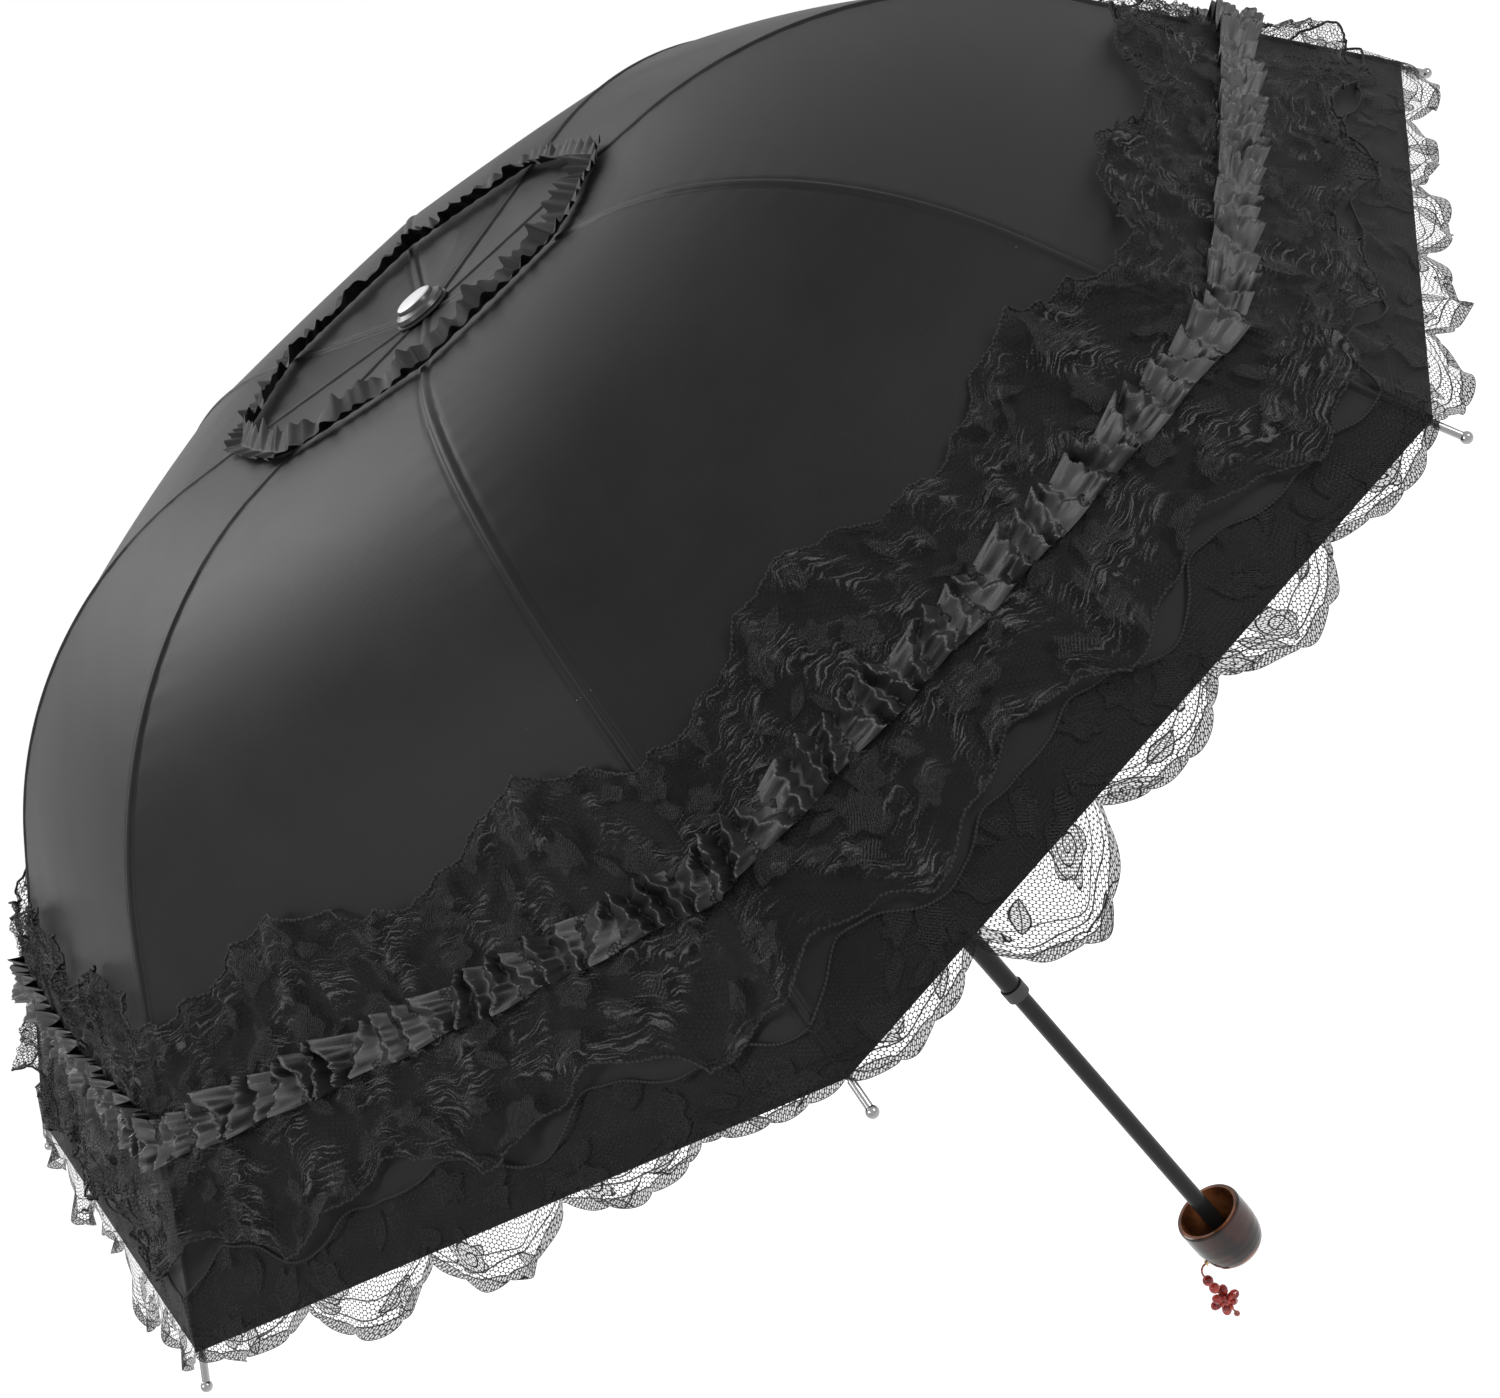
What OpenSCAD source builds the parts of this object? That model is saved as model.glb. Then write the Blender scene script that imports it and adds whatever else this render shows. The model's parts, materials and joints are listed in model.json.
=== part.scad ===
// Lace parasol: eight three-piece ribs on a telescoping shaft, with a cup handle and a wrist charm.
// Millimetres. +Z runs up the shaft. The origin is on the shaft's axis, at the middle of the handle.

/* [Canopy] */
// Radius of the circle through the rib-end balls
tip_r = 401; // [390:1:410]
// Height of the rib-end balls above the origin
tip_z = 447; // [440:1:452]
// Radius of the cloth's corners, where it is sewn to the ribs
corner_r = 394; // [385:1:396]
// How far each panel bulges from a straight line towards a round dome
panel_bulge = 0.35; // [0:0.05:0.6]
// Thickness of the canopy's stand-in skin
skin_t = 0.8; // [0.6:0.1:1]
// Azimuth of the first rib, in degrees
first_rib = -8.4; // [-20:0.1:20]

/* [Trim] */
// Radius of the gathered lace ring on the crown
crown_ring_r = 101; // [95:1:108]
// Seam radius at the middle of the gathered ribbon
ribbon_r = 343; // [338:1:348]
// Width of the gathered ribbon, measured in radius
ribbon_w = 18; // [12:1:22]
// Seam radius of the flounce's upper edge
flounce_top_r = 304; // [298:1:312]
// Seam radius of the flounce's lower edge
flounce_low_r = 380; // [370:1:384]
// How far the edging hangs past the middle of a panel's rim
edging_drop = 24; // [16:1:30]

/* [Shaft] */
// Outer radius of the lowest tube, which is fixed in the handle
lower_tube_r = 4.5; // [4.2:0.1:4.8]
// Wall thickness of each tube
tube_wall = 0.6; // [0.5:0.05:0.6]
// Radial play between one tube and the next
tube_play = 0.06; // [0.04:0.01:0.08]

/* [Ribs] */
// Width of the inner rib's channel
channel_w = 3.6; // [3.4:0.1:3.8]
// Radius of every rivet's shank
rivet_r = 0.8; // [0.7:0.05:0.85]
// Distance along the inner rib to the stretcher's pivot
stretcher_at = 90; // [85:1:95]
// Length of the stretcher, pivot to pivot
stretcher_len = 120; // [118:1:122]

/* [Handle] */
// Outer radius of the cup at its mouth
cup_r = 18.5; // [17:0.5:20]
// Half the length of the cup
cup_half = 16; // [15.5:0.5:17]

/* [Hidden] */

ribs = 8;
pitch = 360 / ribs;
fine = 64;
small = 32;
gap = 0.05;

// The cloth's seam line: a dished crown, a round shoulder, then a straight run to the corner.
hole_r = 6.5;
crown_z = 642;
flat_r = 129;
flat_z = 649;
arc_r = 220;
arc_z = flat_z - arc_r;
arc_end_r = 296;
arc_end_z = arc_z + sqrt(arc_r * arc_r - pow(arc_end_r - flat_r, 2));
run_slope = (arc_end_r - flat_r) / (arc_end_z - arc_z);

function seam_z(r) =
    r <= crown_ring_r ? crown_z + 6 * r / crown_ring_r :
    r <= flat_r ? crown_z + 6 + (r - crown_ring_r) / (flat_r - crown_ring_r) :
    r <= arc_end_r ? arc_z + sqrt(arc_r * arc_r - pow(r - flat_r, 2)) :
    arc_end_z - (r - arc_end_r) * run_slope;
function seam_slope(r) = (seam_z(r + 0.5) - seam_z(r - 0.5));

// Steps along one panel, and the points round the whole canopy.
panel_steps = 8;
around = ribs * panel_steps;

// A point of the cloth: seam radius r, step i round the canopy, height off the cloth along its normal,
// and how far it lies past the rim, down the same slope.
function off_seam(i) = (i % panel_steps) / panel_steps;
function bow(r) = panel_bulge * max(0, sin(180 * min(1, r / corner_r)));
function cloth_point(r, i, lift, past) =
    let (
        f = off_seam(i),
        turn = atan2(f * sin(pitch), 1 - f + f * cos(pitch)),
        chord = r * sqrt(pow(1 - f + f * cos(pitch), 2) + pow(f * sin(pitch), 2)),
        round_r = chord + bow(r) * (r - chord),
        s = seam_slope(r),
        n = sqrt(1 + s * s),
        out = round_r - lift * s / n + past / n,
        up = seam_z(r) + lift / n + past * s / n,
        a = first_rib - 90 + pitch * floor(i / panel_steps) + turn
    )
    [out * cos(a), out * sin(a), up];

// A closed ring-shaped skin from rows of [seam radius, lift, share of the drop past the rim].
module cloth_band(rows, drop = 0) {
    n = len(rows);
    points = [
        for (row = rows)
            for (i = [0 : around - 1])
                cloth_point(row[0], i, row[1], row[2] * drop * pow(sin(180 * off_seam(i)), 0.5))
    ];
    faces = [
        for (k = [0 : n - 1])
            for (i = [0 : around - 1])
                let (
                    a = k * around + i,
                    b = k * around + (i + 1) % around,
                    c = ((k + 1) % n) * around + (i + 1) % around,
                    d = ((k + 1) % n) * around + i
                )
                each [[a, b, c], [a, c, d]]
    ];
    polyhedron(points, faces);
}

function there_and_back(radii, low, high) =
    concat(
        [for (r = radii) [r, high, 0]],
        [for (k = [len(radii) - 1 : -1 : 0]) [radii[k], low, 0]]
    );

// Rib joints in the plane of one rib: x is the distance from the axis, y the height.
crown_pivot = [11, 636];
rib_drop = 5;
rib_arc_r = arc_r - rib_drop;
inner_end_angle = 80;
middle_end_angle = 40;
inner_end = [flat_r + rib_arc_r * cos(inner_end_angle), arc_z + rib_arc_r * sin(inner_end_angle)];
middle_end = [flat_r + rib_arc_r * cos(middle_end_angle), arc_z + rib_arc_r * sin(middle_end_angle)];
inner_len = norm(inner_end - crown_pivot);
inner_rise = atan2(inner_end[1] - crown_pivot[1], inner_end[0] - crown_pivot[0]);
outer_len = norm([tip_r, tip_z] - middle_end);
outer_rise = atan2(tip_z - middle_end[1], tip_r - middle_end[0]);
pin_sink = 0.7;
stretcher_top = crown_pivot + [
    stretcher_at * cos(inner_rise) + pin_sink * sin(inner_rise),
    stretcher_at * sin(inner_rise) - pin_sink * cos(inner_rise)
];
runner_pivot_r = 11;
reach = stretcher_top[0] - runner_pivot_r;
runner_z = stretcher_top[1] - sqrt(stretcher_len * stretcher_len - reach * reach);
stretcher_rise = atan2(runner_z - stretcher_top[1], runner_pivot_r - stretcher_top[0]);

hole_play = 0.1;
eye_r = 2;
tongue_w = 2.4;
bar_w = 2.4;
bar_y = 2.1;
wire_r = 1.1;
ball_r = 2.3;

// Tubes, from the handle up: outer radius, lower end, upper end.
middle_tube_r = lower_tube_r + tube_play + tube_wall + 0.04;
upper_tube_r = middle_tube_r + tube_play + tube_wall + 0.04;
lower_tube_z = [-12, 225];
middle_tube_z = [192, 430];
upper_tube_z = [390, 640];

// The charm's cord: out of the eyelet, over, and straight down.
// The eyelet's flange stands clear of the tapering wall, and its barrel fills the wall's side hole.
cord_r = 0.6;
cord_z = -9;
eyelet_x = -18.8;
side_hole_r = 1.2;
cord_route = [
    [-18.8, 0, -9], [-19.9, 0, -9.05], [-21.1, 0, -9.4], [-22.2, 0, -10.2], [-23, 0, -11.3],
    [-23.5, 0, -12.7], [-23.7, 0, -14.5], [-23.7, 0, -17], [-23.7, 0, -20], [-23.7, 0, -23],
    [-23.7, 0, -26], [-23.7, 0, -29], [-23.7, 0, -32], [-23.7, 0, -35], [-23.7, 0, -38],
    [-23.7, 0, -41], [-23.7, 0, -44], [-23.7, 0, -46]
];
cord_x = -23.7;

// ---------------------------------------------------------------- helpers

module at_rib(k) {
    rotate([0, 0, first_rib - 90 + pitch * (k - 1)]) children();
}

// Draws a child made along +X from a point in a rib's plane, raised by an angle.
module along_rib(from, rise) {
    translate([from[0], 0, from[1]]) rotate([0, -rise, 0]) children();
}

// A cylinder across a rib, from y0 to y1.
module across(r, y0, y1, x = 0, z = 0) {
    translate([x, y1, z]) rotate([90, 0, 0]) cylinder(r = r, h = y1 - y0, $fn = small);
}

// A rivet: a shank with a flat head just clear of each face.
module rivet(y0, y1, x = 0, z = 0) {
    head_r = rivet_r + 0.5;
    head_t = 0.45;
    across(rivet_r, y0 - gap - head_t / 2, y1 + gap + head_t / 2, x, z);
    across(head_r, y0 - gap - head_t, y0 - gap, x, z);
    across(head_r, y1 + gap, y1 + gap + head_t, x, z);
}

module tube(r, bore, z) {
    difference() {
        translate([0, 0, z[0]]) cylinder(r = r, h = z[1] - z[0], $fn = fine);
        translate([0, 0, z[0] - 1]) cylinder(r = bore, h = z[1] - z[0] + 2, $fn = fine);
    }
}

// Radial slots, from radius r0 outwards, between two heights.
module slots(r0, r1, w, z0, z1) {
    for (k = [1 : ribs]) {
        at_rib(k) translate([r0, -w / 2, z0]) cube([r1 - r0, w, z1 - z0]);
    }
}

// ---------------------------------------------------------------- handle and shaft

module handle_cup() {
    wall = 2.6;
    color([0.33, 0.13, 0.06]) difference() {
        rotate_extrude($fn = fine) difference() {
            polygon([
                [0, -cup_half], [10.5, -cup_half], [12.6, -cup_half + 0.6], [14.6, -cup_half + 2],
                [16.2, -cup_half + 4.2], [17.3, -cup_half + 7.2], [18.1, -cup_half + 11],
                [18.6, -cup_half + 16], [18.7, -cup_half + 22], [cup_r, cup_half - 1.2],
                [cup_r - 0.5, cup_half - 0.2], [cup_r - 1.2, cup_half], [0, cup_half]
            ]);
            polygon([
                [0, -cup_half + 3], [10, -cup_half + 3], [12.4, -cup_half + 4.2],
                [14, -cup_half + 6.4], [15.2, -cup_half + 10], [15.9, -cup_half + 16],
                [cup_r - wall, cup_half + 1], [0, cup_half + 1]
            ]);
        }
        translate([-20, 0, cord_z]) rotate([0, 90, 0]) cylinder(r = side_hole_r, h = 10, $fn = small);
    }
}

module handle_socket() {
    color([0.06, 0.06, 0.06]) tube(8, lower_tube_r + gap, [-cup_half + 3.05, -4]);
    color([0.06, 0.06, 0.06]) tube(6.4, lower_tube_r + gap, [-3.95, -2]);
}

module lower_tube() {
    color([0.04, 0.04, 0.04]) tube(lower_tube_r, lower_tube_r - tube_wall, lower_tube_z);
}

module middle_tube() {
    color([0.04, 0.04, 0.04]) tube(middle_tube_r, lower_tube_r + tube_play, middle_tube_z);
}

module middle_ferrule() {
    color([0.05, 0.05, 0.05])
        tube(middle_tube_r + 1, middle_tube_r + gap, [middle_tube_z[0], middle_tube_z[0] + 7]);
}

module upper_tube() {
    color([0.04, 0.04, 0.04]) tube(upper_tube_r, middle_tube_r + tube_play, upper_tube_z);
}

// ---------------------------------------------------------------- crown, cap and runner

notch_r = 15;
notch_z = [627.6, 640.8];
slot_w = 3;

module crown_notch() {
    color([0.05, 0.05, 0.05]) difference() {
        tube(notch_r, upper_tube_r + gap, notch_z);
        slots(8.6, notch_r + 1, slot_w, notch_z[0] - 1, crown_pivot[1] + 2.6);
        for (k = [1 : ribs]) {
            at_rib(k) across(rivet_r + gap, -3.75, 3.75, crown_pivot[0], crown_pivot[1]);
        }
    }
}

module crown_pins() {
    color([0.6, 0.6, 0.62]) for (k = [1 : ribs]) {
        at_rib(k) across(rivet_r, -3.7, 3.7, crown_pivot[0], crown_pivot[1]);
    }
}

module cap_washer() {
    color([0.05, 0.05, 0.05]) tube(13, 5.3, [643.9, 644.6]);
}

module top_cap() {
    stem_r = middle_tube_r + tube_play - gap;
    color([0.78, 0.78, 0.78]) rotate_extrude($fn = fine) polygon([
        [0, 624], [stem_r, 624], [stem_r, 644.65], [12, 644.65], [12.3, 645.6], [11.6, 647.4],
        [9.4, 648.6], [9.2, 649.4], [8.9, 650.2], [7.6, 650.8], [3.5, 651], [0, 651]
    ]);
}

runner_bore_r = upper_tube_r + tube_play;
button_z = runner_z - 20.5;
button_turn = first_rib - 90 + pitch / 2;
button_r = 2.25;

// A flanged sleeve with a slotted crown for the stretchers, and a boss round the release button.
module runner() {
    sleeve_r = 8.5;
    sleeve_h = 36;
    flange_r = 12;
    flange_h = 2.6;
    slotted_r = 14.2;
    slotted_h = 18;
    boss_r = 3.6;
    foot_z = runner_z - 30;
    slotted_z = foot_z + sleeve_h - slotted_h;
    color([0.05, 0.05, 0.05]) difference() {
        union() {
            translate([0, 0, foot_z]) cylinder(r = flange_r, h = flange_h, $fn = fine);
            translate([0, 0, foot_z]) cylinder(r = sleeve_r, h = sleeve_h, $fn = fine);
            translate([0, 0, slotted_z]) cylinder(r = slotted_r, h = slotted_h, $fn = fine);
            rotate([0, 0, button_turn]) translate([6, 0, button_z]) rotate([0, 90, 0])
                cylinder(r = boss_r, h = 4.2, $fn = small);
        }
        translate([0, 0, foot_z - 1]) cylinder(r = runner_bore_r, h = sleeve_h + 4, $fn = fine);
        slots(8.9, slotted_r + 2, slot_w, slotted_z - 1, slotted_z + slotted_h + 1);
        rotate([0, 0, button_turn]) translate([4, 0, button_z]) rotate([0, 90, 0])
            cylinder(r = button_r + hole_play, h = 10, $fn = small);
    }
}

module release_button() {
    color([0.72, 0.72, 0.72]) rotate([0, 0, button_turn]) translate([0, 0, button_z])
        rotate([0, 90, 0]) rotate_extrude($fn = small) polygon([
            [0, 7.7], [button_r, 7.7], [button_r, 10.9], [button_r - 0.45, 11.4], [0, 11.6]
        ]);
}

// ---------------------------------------------------------------- ribs

// A pressed channel, open below, with a flat tongue at each end.
module inner_rib(k) {
    start = 9.9;
    end = inner_len - 8;
    wall = 0.5;
    color([0.08, 0.08, 0.08]) at_rib(k) along_rib(crown_pivot, inner_rise) {
        difference() {
            union() {
                translate([start, -channel_w / 2, -2]) cube([end - start, channel_w, 3.4]);
                translate([0, -tongue_w / 2, -1.2]) cube([start + 3, tongue_w, 2.4]);
                across(eye_r, -tongue_w / 2, tongue_w / 2);
                translate([end - 3, -channel_w / 2, -1.2]) cube([inner_len - end + 3, channel_w, 2.4]);
                across(eye_r, -channel_w / 2, channel_w / 2, inner_len);
            }
            translate([start + 3, wall - channel_w / 2, -3])
                cube([end - start - 6, channel_w - 2 * wall, 3.9]);
            across(rivet_r + hole_play, -5, 5);
            across(rivet_r + gap, -5, 5, inner_len);
            across(rivet_r + gap, -5, 5, stretcher_at, -pin_sink);
        }
        rivet(-channel_w / 2, channel_w / 2, stretcher_at, -pin_sink);
        rivet(-channel_w / 2, bar_y + bar_w, inner_len);
    }
}

// A flat bar from the inner rib down to the runner's slot.
module stretcher(k) {
    color([0.1, 0.1, 0.1]) at_rib(k) along_rib(stretcher_top, stretcher_rise) difference() {
        union() {
            translate([0, -1, -1]) cube([stretcher_len, 2, 2]);
            across(1.45, -1, 1);
            across(1.7, -1, 1, stretcher_len);
        }
        across(rivet_r + hole_play, -3, 3);
        across(rivet_r + hole_play, -3, 3, stretcher_len);
    }
}

// A bar curved with the shoulder, beside the inner rib so that the two fold past each other.
module middle_rib(k) {
    sweep = inner_end_angle - middle_end_angle;
    color([0.08, 0.08, 0.08]) at_rib(k) {
        difference() {
            union() {
                translate([flat_r, bar_y + bar_w / 2, arc_z]) rotate([90, 0, 0])
                    rotate([0, 0, middle_end_angle]) rotate_extrude(angle = sweep, $fn = 360)
                        translate([rib_arc_r - 1.1, -bar_w / 2]) square([2.2, bar_w]);
                across(eye_r, bar_y, bar_y + bar_w, inner_end[0], inner_end[1]);
                across(eye_r, bar_y, bar_y + bar_w, middle_end[0], middle_end[1]);
            }
            across(rivet_r + hole_play, -6, 6, inner_end[0], inner_end[1]);
            across(rivet_r + gap, -6, 6, middle_end[0], middle_end[1]);
        }
        rivet(-1.5, bar_y + bar_w, middle_end[0], middle_end[1]);
    }
}

// A round wire with an eye at its root, and a sleeve and a ball on its end.
module outer_rib(k) {
    tip_len = 12;
    color([0.6, 0.6, 0.6]) at_rib(k) along_rib(middle_end, outer_rise) difference() {
        union() {
            across(eye_r, -1.5, 1.5);
            rotate([0, 90, 0]) cylinder(r = wire_r, h = outer_len, $fn = small);
            translate([outer_len - tip_len, 0, 0]) rotate([0, 90, 0])
                cylinder(r = wire_r + 0.4, h = tip_len, $fn = small);
            translate([outer_len, 0, 0]) sphere(r = ball_r, $fn = small);
        }
        across(rivet_r + hole_play, -4, 4);
    }
}

// ---------------------------------------------------------------- cloth and trim

module canopy() {
    radii = [
        hole_r, 40, 75, crown_ring_r, 115, flat_r, 150, 172, 194, 216, 238, 258, 278, arc_end_r,
        320, 345, 370, corner_r
    ];
    color([0.09, 0.09, 0.1]) cloth_band(there_and_back(radii, -skin_t / 2, skin_t / 2));
}

module crown_ruffle() {
    r = crown_ring_r;
    color([0.12, 0.12, 0.13]) rotate_extrude($fn = fine) polygon([
        [r - 17, 648.2], [r - 6, 648.9], [r + 4, 649.5], [r + 5, 655], [r - 6, 657], [r - 16, 653]
    ]);
}

module ribbon_ruffle() {
    half = ribbon_w / 2;
    color([0.14, 0.14, 0.15])
        cloth_band(there_and_back([ribbon_r - half, ribbon_r, ribbon_r + half], 3.4, 9));
}

module lace_flounce() {
    span = flounce_low_r - flounce_top_r;
    radii = [for (k = [0 : 4]) flounce_top_r + span * k / 4];
    color([0.11, 0.11, 0.11]) cloth_band(there_and_back(radii, 2, 2.8));
}

// The edging starts on the cloth and hangs past the rim between the ribs.
module rim_lace() {
    low = 0.8;
    high = 1.5;
    color([0.13, 0.13, 0.13]) cloth_band([
        [corner_r - 22, high, 0], [corner_r - 11, high, 0], [corner_r, high, 0],
        [corner_r, high, 0.5], [corner_r, high, 1], [corner_r, low, 1],
        [corner_r, low, 0.5], [corner_r, low, 0], [corner_r - 11, low, 0], [corner_r - 22, low, 0]
    ], edging_drop);
}

// ---------------------------------------------------------------- charm

module charm_eyelet() {
    flange_r = 1.9;
    flange_t = 0.7;
    barrel_len = 3.6;
    color([0.62, 0.45, 0.2]) translate([eyelet_x + gap, 0, cord_z]) rotate([0, 90, 0])
        difference() {
            union() {
                cylinder(r = flange_r, h = flange_t, $fn = small);
                cylinder(r = side_hole_r - gap, h = barrel_len, $fn = small);
            }
            translate([0, 0, -1]) cylinder(r = cord_r + 0.3, h = barrel_len + 2, $fn = small);
        }
}

// Directions along the route, and the ring of points round each of its points.
function route_way(k) =
    let (
        a = cord_route[max(0, k - 1)],
        b = cord_route[min(len(cord_route) - 1, k + 1)]
    )
    (b - a) / norm(b - a);
cord_sides = 8;
function cord_ring(k) =
    let (w = route_way(k), side = [0, 1, 0], up = cross(w, side))
    [
        for (j = [0 : cord_sides - 1])
            let (a = 360 * j / cord_sides)
            cord_route[k] + cord_r * (cos(a) * side + sin(a) * up)
    ];

module charm_cord() {
    last = len(cord_route) - 1;
    points = [for (k = [0 : last]) each cord_ring(k)];
    sides = [
        for (k = [0 : last - 1])
            for (j = [0 : cord_sides - 1])
                let (
                    a = k * cord_sides + j,
                    b = k * cord_sides + (j + 1) % cord_sides,
                    c = b + cord_sides,
                    d = a + cord_sides
                )
                each [[a, c, b], [a, d, c]]
    ];
    first_cap = [[for (j = [0 : cord_sides - 1]) j]];
    last_cap = [[for (j = [cord_sides - 1 : -1 : 0]) last * cord_sides + j]];
    color([0.35, 0.12, 0.08]) polyhedron(points, concat(sides, first_cap, last_cap));
}

module bead(r, z) {
    difference() {
        translate([cord_x, 0, z]) sphere(r = r, $fn = small);
        translate([cord_x, 0, z - r - 1]) cylinder(r = cord_r + 0.1, h = 2 * r + 2, $fn = small);
    }
}

module charm_beads() {
    color([0.45, 0.12, 0.1]) bead(3, -18.5);
    color([0.45, 0.12, 0.1]) bead(3, -25);
}

// A centre bead on the cord with a ring of petal beads round it, and a small pale bead at one side.
module charm_flower() {
    z = -35.5;
    petals = 6;
    color([0.6, 0.1, 0.1]) difference() {
        union() {
            translate([cord_x, 0, z]) sphere(r = 4.2, $fn = small);
            for (j = [0 : petals - 1]) {
                a = 360 * j / petals;
                translate([cord_x + 5.2 * cos(a), 1.4 * (j % 2 ? 1 : -1), z + 5.2 * sin(a)])
                    sphere(r = 3.1, $fn = small);
            }
        }
        translate([cord_x, 0, z - 12]) cylinder(r = cord_r + 0.1, h = 24, $fn = small);
    }
}

module charm_knot() {
    color([0.35, 0.12, 0.08]) translate([cord_x, 0, -46 - gap]) mirror([0, 0, 1])
        rotate_extrude($fn = small) polygon([
            [0, 0], [0.8, 0], [1.6, 0.9], [1.7, 1.8], [1.2, 2.8], [0.5, 3.3], [0, 3.3]
        ]);
}

handle_cup();
handle_socket();
lower_tube();
middle_tube();
middle_ferrule();
upper_tube();
crown_notch();
crown_pins();
cap_washer();
top_cap();
runner();
release_button();
for (k = [1 : ribs]) {
    inner_rib(k);
    stretcher(k);
    middle_rib(k);
    outer_rib(k);
}
canopy();
crown_ruffle();
ribbon_ruffle();
lace_flounce();
rim_lace();
charm_eyelet();
charm_cord();
charm_beads();
charm_flower();
charm_knot();
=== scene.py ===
# %% [markdown]
# # A black lace parasol
# The parasol is a dome of eight satin panels on folding ribs. Two bands of net lace, a gathered ribbon
# and a lace ring on the crown are sewn to it, and a cup handle with a bead charm ends the shaft.
# The frame of the parasol is a finished mechanical model. This script loads it, dresses it in cloth
# and gives every part its finish. Lengths are in metres.

# %% Load the frame
import json
import math

import bmesh
import bpy
import numpy as np
from mathutils import Matrix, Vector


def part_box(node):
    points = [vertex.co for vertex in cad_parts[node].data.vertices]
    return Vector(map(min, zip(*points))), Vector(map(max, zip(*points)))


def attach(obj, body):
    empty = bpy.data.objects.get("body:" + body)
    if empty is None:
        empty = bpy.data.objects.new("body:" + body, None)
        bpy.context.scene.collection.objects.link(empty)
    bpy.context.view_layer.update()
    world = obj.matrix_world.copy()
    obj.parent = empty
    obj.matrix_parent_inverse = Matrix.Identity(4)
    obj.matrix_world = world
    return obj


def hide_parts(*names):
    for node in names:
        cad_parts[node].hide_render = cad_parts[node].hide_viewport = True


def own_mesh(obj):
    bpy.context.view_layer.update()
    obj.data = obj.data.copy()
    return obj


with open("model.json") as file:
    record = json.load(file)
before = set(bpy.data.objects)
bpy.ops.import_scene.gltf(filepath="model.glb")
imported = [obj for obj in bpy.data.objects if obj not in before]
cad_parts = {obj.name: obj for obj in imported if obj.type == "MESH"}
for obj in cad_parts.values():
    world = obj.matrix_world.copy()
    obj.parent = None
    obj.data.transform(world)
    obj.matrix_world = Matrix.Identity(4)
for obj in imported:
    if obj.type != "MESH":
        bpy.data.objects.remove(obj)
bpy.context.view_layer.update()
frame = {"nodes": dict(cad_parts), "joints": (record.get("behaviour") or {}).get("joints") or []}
MM = 0.001

# %% [markdown]
# ## Measures from the frame
# The first rib's direction and the knees where a rib folds come from the frame's joints, and the height of
# the crown from the top of the crown notch; the other radii are given. The cloth is sewn along the ribs,
# so its seam line is built on the same numbers.

# %% Rib directions and knees
joints = {j["name"]: j for j in frame["joints"]}
RIBS = 8
PITCH = 2 * math.pi / RIBS
knee_1 = np.array(joints["middle_fold_1"]["pos_m"])
knee_2 = np.array(joints["outer_fold_1"]["pos_m"])
FIRST = math.atan2(knee_1[1], knee_1[0])
R_KNEE_1 = float(np.hypot(*knee_1[:2]))
R_KNEE_2 = float(np.hypot(*knee_2[:2]))
R_HOLE = 6.5 * MM  # the canopy's hole at the cap
R_RING = 101 * MM  # the ruffle's ring
R_FLAT = 129 * MM  # where the dome begins to bend
R_BEND = 296 * MM  # where it stops bending
R_RIBBON = 343 * MM
R_CORNER = 394 * MM
CROWN_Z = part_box("crown_notch")[1][2] + 1.2 * MM
DISH = 6 * MM  # the ring stands this much above the cap's hole
SHELF = 1 * MM
BEND = 220 * MM  # radius of the bend
BULGE = 0.35  # share of the way from a straight panel to a round one
HALVES = [(rib, side, hand) for rib in range(1, RIBS + 1) for side, hand in ((1, "left"), (-1, "right"))]
print("knees at radius", round(R_KNEE_1, 4), round(R_KNEE_2, 4))

# %% [markdown]
# ## Camera
# The camera stands 1.2 m from the crown, 22 degrees above the rim, and is rolled so that the shaft
# points to the lower right.

# %% The camera
RIM_Z = 446 * MM
TIP_R = 400 * MM
ELEVATION = math.radians(21.7916)
ROLL = math.radians(-41.039)
AIM_YAW = math.radians(0.1896)
AIM_PITCH = math.radians(-1.7069)
DISTANCE = 2.9 * TIP_R


def turned(vector, axis, angle):
    """A vector turned about an axis by the rule of Rodrigues."""
    along = np.dot(axis, vector) * axis
    return along + math.cos(angle) * (vector - along) + math.sin(angle) * np.cross(axis, vector)


away = np.array([0, -math.cos(ELEVATION), math.sin(ELEVATION)])
right = np.array([1.0, 0, 0])
up = np.cross(right, -away)
forward = turned(-away, up, AIM_YAW)
right = turned(right, up, AIM_YAW)
forward, up = turned(forward, right, AIM_PITCH), turned(up, right, AIM_PITCH)
cam_x = right * math.cos(ROLL) + up * math.sin(ROLL)
cam_y = -right * math.sin(ROLL) + up * math.cos(ROLL)
cam_at = DISTANCE * away + np.array([0, 0, RIM_Z])
camera = bpy.data.objects.new("camera", bpy.data.cameras.new("camera"))
bpy.context.scene.collection.objects.link(camera)
camera.data.sensor_width = 36
camera.data.lens = 60.97
matrix = np.eye(4)
matrix[:3, 0], matrix[:3, 1], matrix[:3, 2], matrix[:3, 3] = cam_x, cam_y, -forward, cam_at
camera.matrix_world = Matrix(matrix.tolist())
bpy.context.scene.camera = camera
bpy.context.scene.view_settings.view_transform = "Standard"
print("camera at", cam_at.round(3))

# %% [markdown]
# ## Shader maths as Python
# A node tree is easier to read as a formula. `Value` wraps one output socket and turns + - * / into
# Math nodes; `Finish` starts a Principled material and makes any other node through one method.

# %% Value and Finish


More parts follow.
